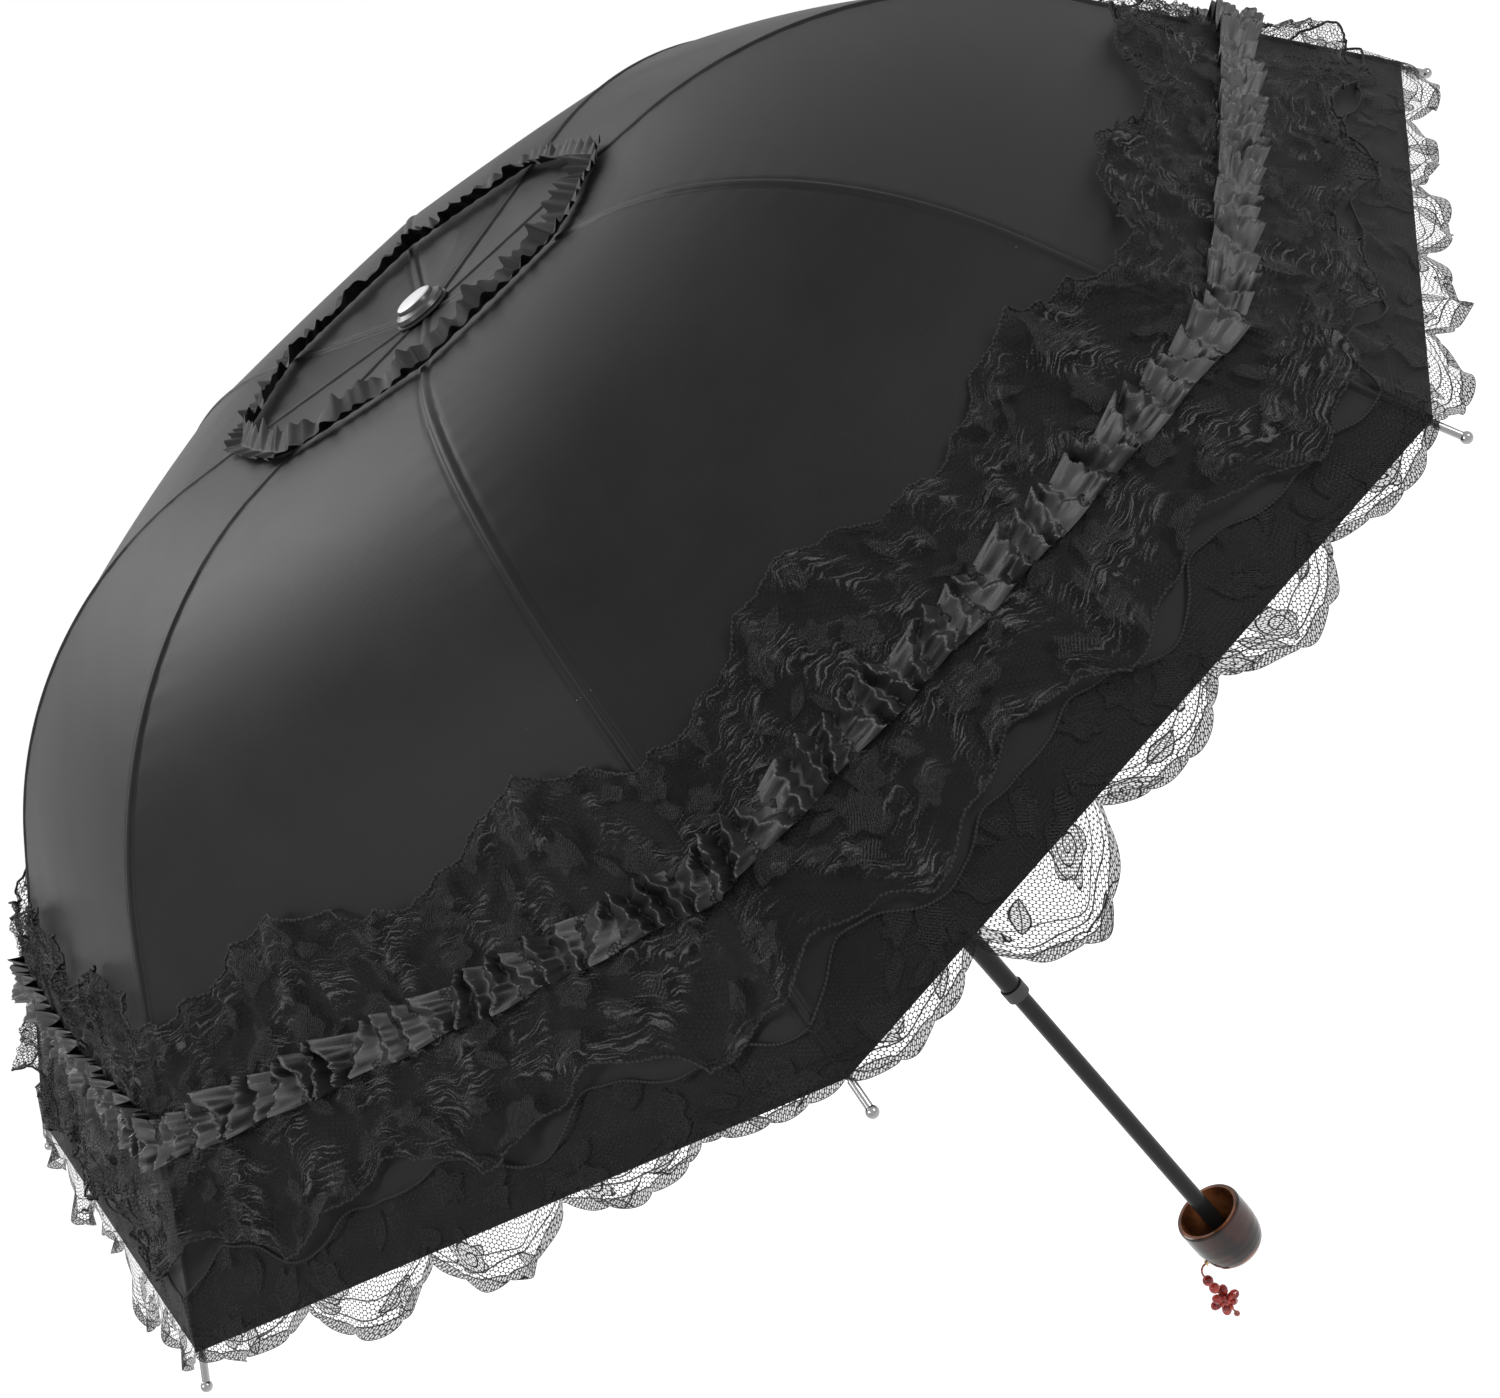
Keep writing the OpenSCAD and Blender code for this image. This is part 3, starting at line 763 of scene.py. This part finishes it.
# %% The edging
LOBES = 5
LOBE_REACH = 23 * MM
LOBE_SIZES = np.array([
    0.45, 1.2, 0.6, 0.75, 0.4, 0.6, 0.7, 0.6, 0.5, 0.65,
    0.5, 0.8, 0.35, 0.9, 0.6, 0.4, 0.75, 0.8, 0.45, 0.2,
])
RIM_CHORD = 2 * R_CORNER * math.sin(PITCH / 2)
RIM_V = 0.42  # the value of v on the rim


def edging_surface(rib, side):
    """v runs from 0 at the upper edge to 1 at the hanging edge. A lobe hangs by the absolute sine of the
    way along the rim, times its own size. The UV's v is the way to the hanging edge."""

    def surface(v, share):
        u = hem_place(rib, side, share, v)
        lobe = u / PANEL * LOBES
        size = LOBE_SIZES[np.mod(np.floor(lobe + 1e-6), len(LOBE_SIZES)).astype(int)]
        bow = np.abs(np.sin(math.pi * lobe))
        bow = bow * (1 + 0.07 * wave(u, PANEL / 13, 0.3)) / 1.07
        reach = (0.2 + bow**0.8) * size * LOBE_REACH
        top = 13 * MM + 3.5 * MM * wave(u, PANEL / 3) + 6 * MM * bow**2
        on_cloth = np.clip(1 - v / RIM_V, 0, None)
        past = np.clip((v - RIM_V) / (1 - RIM_V), 0, None)
        sway = wave(u, PANEL / 11, 0.1) + 0.6 * wave(u, PANEL / 7, 0.4)
        lift = MM * (0.8 + 1.0 * on_cloth * (1 + sway).clip(0) + 3.4 * past * sway * bow)
        points = cloth(R_CORNER - top * on_cloth, share, rib, side, lift, past * reach)
        to_edge = reach * (1 - past) + top * on_cloth * SLANT
        return points, np.stack([u * RIM_CHORD / PANEL, to_edge], -1)

    return surface


# %% Ribbon satin, and the trim sewn on
ribbon_satin = Finish("ribbon_satin", Specular_IOR_Level=0.8, Sheen_Weight=0.05, Sheen_Roughness=0.35)
ribbon_satin.set(Base_Color=(0.01, 0.01, 0.0105, 1))
slub = ribbon_satin.noise(ribbon_satin.place("UV"), 300, 3)
ribbon_satin.set(Roughness=0.22 + slub * 0.14)
ribbon_satin.bump(weave(ribbon_satin, 0.6 * MM) + slub, 0.05 * MM, 0.6)

columns_wide = spread(0, HALF, 90)
columns_fine = spread(0, HALF, 230)
columns_edge = spread(0, HALF, 140)
around_cord = spread(0, 1, 9)
rows_band = spread(-1, 1, 45)
rows_ribbon = spread(-1, 1, 19)
rows_edging = spread(0, 1, 27)
for rib, side, hand in HALVES:
    flounce, edging = flounce_surface(rib, side), edging_surface(rib, side)
    top_cord, low_cord = swept_cord(flounce, -1), swept_cord(flounce, 1)
    rim_cord = swept_cord(edging, 0.004)
    sheets = [
        ("flounce", flounce, rows_band, columns_wide, R_RIBBON, band_lace, "lace_flounce", 1.25),
        ("flounce_top", top_cord, around_cord, columns_edge, R_RIBBON, thread, "lace_flounce", 0),
        ("flounce_low", low_cord, around_cord, columns_edge, R_RIBBON, thread, "lace_flounce", 0),
        ("ribbon", ribbon_surface(rib, side), rows_ribbon, columns_fine, R_RIBBON, ribbon_satin,
         "ribbon_ruffle", 1),
        ("edging", edging, rows_edging, columns_edge, R_CORNER - 10 * MM, edging_lace, "rim_lace", 1.1),
        ("edging_top", rim_cord, around_cord, columns_edge, R_CORNER, thread, "rim_lace", 0),
    ]
    for name, surface, rows, columns, radius, finish, node, gather in sheets:
        slot = "black_ribbon" if name == "ribbon" else "black_lace"
        sew(
            f"{name}_{rib}_{hand}", surface, rows, columns, f"outer_rib_{rib}", rib, side, radius,
            finish, node, gather,
        )
print("triangles with the trim", made_triangles)

# %% [markdown]
# ## Crown ruffle
# A narrow satin strip is gathered into a ring on the crown and stitched along its middle. Both of its
# edges stand free, the inner one higher, and flare in soft uneven folds.

# %% The crown ruffle
RUFFLE_R = R_RING - 3 * MM
RUFFLE_WIDTH = 17 * MM
RUFFLE_STITCH = 0.55
RING_PLEAT = 7.6 * MM
RING_PANEL = PANEL * R_RING / R_RIBBON
RING_PLEATS = round(2 * math.pi * R_RING * 0.974 / RING_PLEAT)


def crown_surface(rib, side):
    """A V in section. v runs from 0 at the inner free edge over the stitching to 1 at the outer one."""

    def surface(v, share):
        u = hem_place(rib, side, share, v) * R_RING / R_RIBBON
        phase = u / (RIBS * RING_PANEL) * RING_PLEATS + 0.35 * wave(u, RING_PANEL, 0.2)
        number = np.mod(np.floor(phase), RING_PLEATS)
        saw = phase - np.floor(phase)
        fold = 0.5 - 0.5 * np.cos(2 * math.pi * saw ** (0.65 + 0.8 * chance_of(number, 6)))
        size = 0.25 + 0.75 * chance_of(number, 7)
        inner = v < RUFFLE_STITCH
        free = np.where(inner, 1 - v / RUFFLE_STITCH, (v - RUFFLE_STITCH) / (1 - RUFFLE_STITCH))
        uneven = 0.85 + 0.2 * wave(u, RING_PANEL / 2, 0.3) + 0.18 * wave(u, RING_PANEL / 3.5, 0.6)
        tall = np.where(inner, 6.6, 2.6) * uneven
        lift = MM * (0.8 + tall * free + 3.4 * fold * size * free**0.4)
        width = RUFFLE_WIDTH * (0.86 + 0.26 * (fold - 0.4) * size + 0.1 * wave(u, 31 * MM))
        points = cloth(RUFFLE_R + (v - RUFFLE_STITCH) * width, share, rib, side, lift)
        return points, np.stack([u * 1.7, v * RUFFLE_WIDTH + 0 * u], -1)

    return surface


ruffle_satin = Finish("ruffle_satin", Specular_IOR_Level=0.2, Sheen_Weight=0.02, Sheen_Roughness=0.4)
ruffle_slub = ruffle_satin.noise(ruffle_satin.place("UV"), 300, 3)
ruffle_satin.set(Base_Color=ruffle_satin.blend(ruffle_slub, grey(0.003), grey(0.009)))
ruffle_satin.set(Roughness=0.4 + ruffle_slub * 0.2)
ruffle_satin.bump(weave(ruffle_satin, 0.6 * MM) + ruffle_slub, 0.06 * MM, 0.6)
for rib, side, hand in HALVES:
    sew(
        f"crown_ruffle_{rib}_{hand}", crown_surface(rib, side), spread(0, 1, 19), spread(0, HALF, 100),
        f"inner_rib_{rib}", rib, side, R_RING, ruffle_satin, "crown_ruffle", 1.3,
    )

# %% [markdown]
# ## Handle
# The cup is cast resin in imitation tortoiseshell: dark red-brown outside, where it is thick, and
# warm orange inside, where light comes through. Cloudy noise mixes the two, and a clear coat shines.

# %% Tortoiseshell resin


def wear(node, finish):
    """Gives a finish to every slot of a part of the frame."""
    target = frame["nodes"][node]
    if not target.data.materials:
        target.data.materials.append(None)
    for place in target.material_slots:
        place.link = "OBJECT"
        place.material = finish.material


shell = Finish("tortoiseshell", Coat_Weight=0.12, Coat_Roughness=0.03, Specular_IOR_Level=0.3)
shell_place = shell.place()
x, y, z = shell.parts(shell_place)
clouds = shell.noise(shell_place, 70, 4, 0.55)
outer_wall = (16.9 * MM + (z + 8 * MM) * 0.1).least(17.6 * MM)
inside = 1 - ((x * x + y * y).root() - outer_wall).above(0, 0.3 * MM)
dark_shell = shell.blend(clouds.above(0.5, 0.12), (0.005, 0.003, 0.0025, 1), (0.032, 0.01, 0.007, 1))
warm_shell = shell.blend(clouds.above(0.5, 0.15), (0.07, 0.022, 0.009, 1), (0.2, 0.07, 0.025, 1))
shell.set(Base_Color=shell.blend(inside, dark_shell, warm_shell))
shell.set(Roughness=0.1 + clouds * 0.08)
wear("handle_cup", shell)

# %% [markdown]
# ## Metal and moulded parts
# The tubes and ribs are lacquered steel. Lacquer is a dark base under a thin coat, with fine
# scratches along the tube. The rib ends are bright plated wire past the cloth's corner, so one finish
# changes from black to silver with the distance from the shaft. Moulded parts are plain matt black.

# %% Hardware finishes
lacquer = Finish("tube_lacquer", Base_Color=grey(0.008), Specular_IOR_Level=0.16)
draw_lines = lacquer.noise(lacquer.place(scale=(900, 900, 14)), 1, 3)
lacquer.set(Roughness=0.22 + draw_lines * 0.16, Coat_Weight=0.04, Coat_Roughness=0.12)
lacquer.bump(draw_lines, 0.02 * MM, 0.4)
for node in ("lower_tube", "middle_tube", "upper_tube"):
    wear(node, lacquer)

moulded = Finish("moulded_black", Base_Color=grey(0.02))
moulded_grain = moulded.noise(moulded.place(), 1400, 2)
moulded.set(Roughness=0.45 + moulded_grain * 0.2)
moulded.bump(moulded_grain, 0.04 * MM, 0.5)
for node in ("handle_socket", "middle_ferrule", "crown_notch", "cap_washer", "runner"):
    wear(node, moulded)

rib_paint = Finish("rib_paint", Metallic=0.2)
rib_speck = rib_paint.noise(rib_paint.place(), 500, 4)
rib_paint.set(Base_Color=rib_paint.blend(rib_speck.above(0.66, 0.04), grey(0.016), grey(0.07)))
rib_paint.set(Roughness=0.3 + rib_speck * 0.25)

R_PLATED = 386 * MM
rib_wire = Finish("plated_wire")
wire_place = rib_wire.place()
wire_x, wire_y, _ = rib_wire.parts(wire_place)
plated = ((wire_x * wire_x + wire_y * wire_y).root() - R_PLATED).above(0, 0.5 * MM)
wire_speck = rib_wire.noise(wire_place, 700, 3)
rib_wire.set(Base_Color=rib_wire.blend(plated, grey(0.02), grey(0.3)))
rib_wire.set(Metallic=0.2 + plated * 0.8, Roughness=0.34 - plated * 0.2 + wire_speck * 0.1)

steel = Finish("pin_steel", Base_Color=grey(0.6), Metallic=1.0)
steel.set(Roughness=0.22 + steel.noise(steel.place(), 900, 3) * 0.2)
for node in ("crown_pins", "release_button"):
    wear(node, steel)
for rib in range(1, RIBS + 1):
    for part in ("inner_rib", "stretcher", "middle_rib"):
        wear(f"{part}_{rib}", rib_paint)
    wear(f"outer_rib_{rib}", rib_wire)

brass = Finish("eyelet_brass", Base_Color=(0.55, 0.36, 0.14, 1), Metallic=1.0)
brass.set(Roughness=0.2 + brass.noise(brass.place(), 1500, 3) * 0.25)
wear("charm_eyelet", brass)

cap = Finish("cap_finish")
_, _, cap_z = cap.parts(cap.place())
pale = (cap_z - (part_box("top_cap")[1][2] - 0.6 * MM)).above(0, 0.15 * MM)
brushed = cap.noise(cap.place(scale=(300, 300, 30)), 4, 3)
cap.set(Base_Color=cap.blend(pale, grey(0.015), (0.5, 0.5, 0.51, 1)))
cap.set(Metallic=pale * 0.75, Roughness=0.24 + brushed * 0.2)
wear("top_cap", cap)

# %% [markdown]
# ## Charm
# Two round beads and a flower of faceted glass hang on the cord. A faceted bead is a low
# icosphere with flat faces, which is what gives it hard little glints. The flower is built from such
# beads round a centre one, and replaces its solid stand-in.

# %% Bead finishes and the flower
glass = Finish("red_glass", Roughness=0.1, Coat_Weight=0.1, Specular_IOR_Level=0.35)
glass_cloud = glass.noise(glass.place(), 260, 2)
garnet, clear_red = (0.11, 0.006, 0.006, 1), (0.34, 0.04, 0.028, 1)
glass.set(Base_Color=glass.blend(glass_cloud.above(0.5, 0.2), garnet, clear_red))
wear("charm_beads", glass)
wear("charm_knot", waxed)


def facet_bead(centre, radius, stretch, turn):
    """Corner points and faces of a bead: an icosphere's own corners, pulled longer and turned."""
    mesh = bmesh.new()
    bmesh.ops.create_icosphere(mesh, subdivisions=2, radius=1)
    corners = np.array([v.co for v in mesh.verts])
    faces = np.array([[v.index for v in f.verts] for f in mesh.faces])
    mesh.free()
    corners = corners * (radius * np.array([stretch, 1, 1]))
    c, s = math.cos(turn), math.sin(turn)
    spin = np.array([[c, 0, -s], [0, 1, 0], [s, 0, c]])
    return corners @ spin.T + centre, faces


flower_z = -35.5
bead_points, bead_faces, count = [], [], 0
beads = [((CORD_X, 0, flower_z), 3.9, 1.0, 0.3)]
for n in range(6):
    a = n * math.pi / 3
    at = (CORD_X + 5.3 * math.cos(a), 1.4 if n % 2 else -1.4, flower_z + 5.3 * math.sin(a))
    beads.append((at, 2.75, 1.25, a))
for n in range(6):
    a = (n + 0.5) * math.pi / 3
    beads.append(((CORD_X + 3.6 * math.cos(a), -3.2, flower_z + 3.6 * math.sin(a)), 1.5, 1.0, a))
for at, radius, stretch, turn in beads:
    corners, faces = facet_bead(np.array(at) * MM, radius * MM, stretch, turn)
    bead_points.append(corners)
    bead_faces.append(faces + count)
    count += len(corners)
mesh = bpy.data.meshes.new("bead_flower")
mesh.from_pydata(np.concatenate(bead_points).tolist(), [], np.concatenate(bead_faces).tolist())
mesh.materials.append(glass.material)
mesh.update()
flower = linked("bead_flower", mesh)
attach(flower, "charm")
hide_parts("charm_flower")

# %% [markdown]
# ## Floor and light
# A pale floor and a white surround keep the background clean. Black cloth shows its form only by
# what it reflects, so two broad lamps stand high on the left and behind, and a weaker one fills.

# %% Floor, surround and lamps
FLOOR_Z = -0.9
SIDE = 60
floor_mesh = bpy.data.meshes.new("floor")
square = [(x * SIDE, y * SIDE, FLOOR_Z) for x, y in ((-1, -1), (1, -1), (1, 1), (-1, 1))]
floor_mesh.from_pydata(square, [], [(0, 1, 2, 3)])
paper = Finish("paper_floor", Base_Color=grey(1.0), Roughness=1.0, Specular_IOR_Level=0.0)
floor_mesh.materials.append(paper.material)
linked("floor", floor_mesh)

world = bpy.data.worlds.new("surround")
bpy.context.scene.world = world
world.use_nodes = True
surround = world.node_tree.nodes["Background"].inputs
surround["Color"].default_value = grey(1.0)
surround["Strength"].default_value = 1.0


def lamp(name, at, aim, size, watts):
    """An area lamp that looks from one point to another."""
    light = bpy.data.lights.new(name, "AREA")
    light.shape = "DISK"
    light.size = size
    light.energy = watts
    back = np.array(at, float) - np.array(aim, float)
    back = back / np.linalg.norm(back)
    side = np.cross([0, 0, 1.0], back)
    side = side / np.linalg.norm(side)
    turn = np.eye(4)
    turn[:3, 0], turn[:3, 1], turn[:3, 2], turn[:3, 3] = side, np.cross(back, side), back, at
    linked(name, light).matrix_world = Matrix(turn.tolist())


CENTRE = (0, 0, 0.5)
lamp("key", (-1.7, -0.9, 2.3), CENTRE, 1.0, 26)
lamp("rear", (-0.75, 1.9, 2.4), CENTRE, 1.5, 44)
lamp("fill", (1.7, -1.5, 1.7), CENTRE, 0.9, 22)
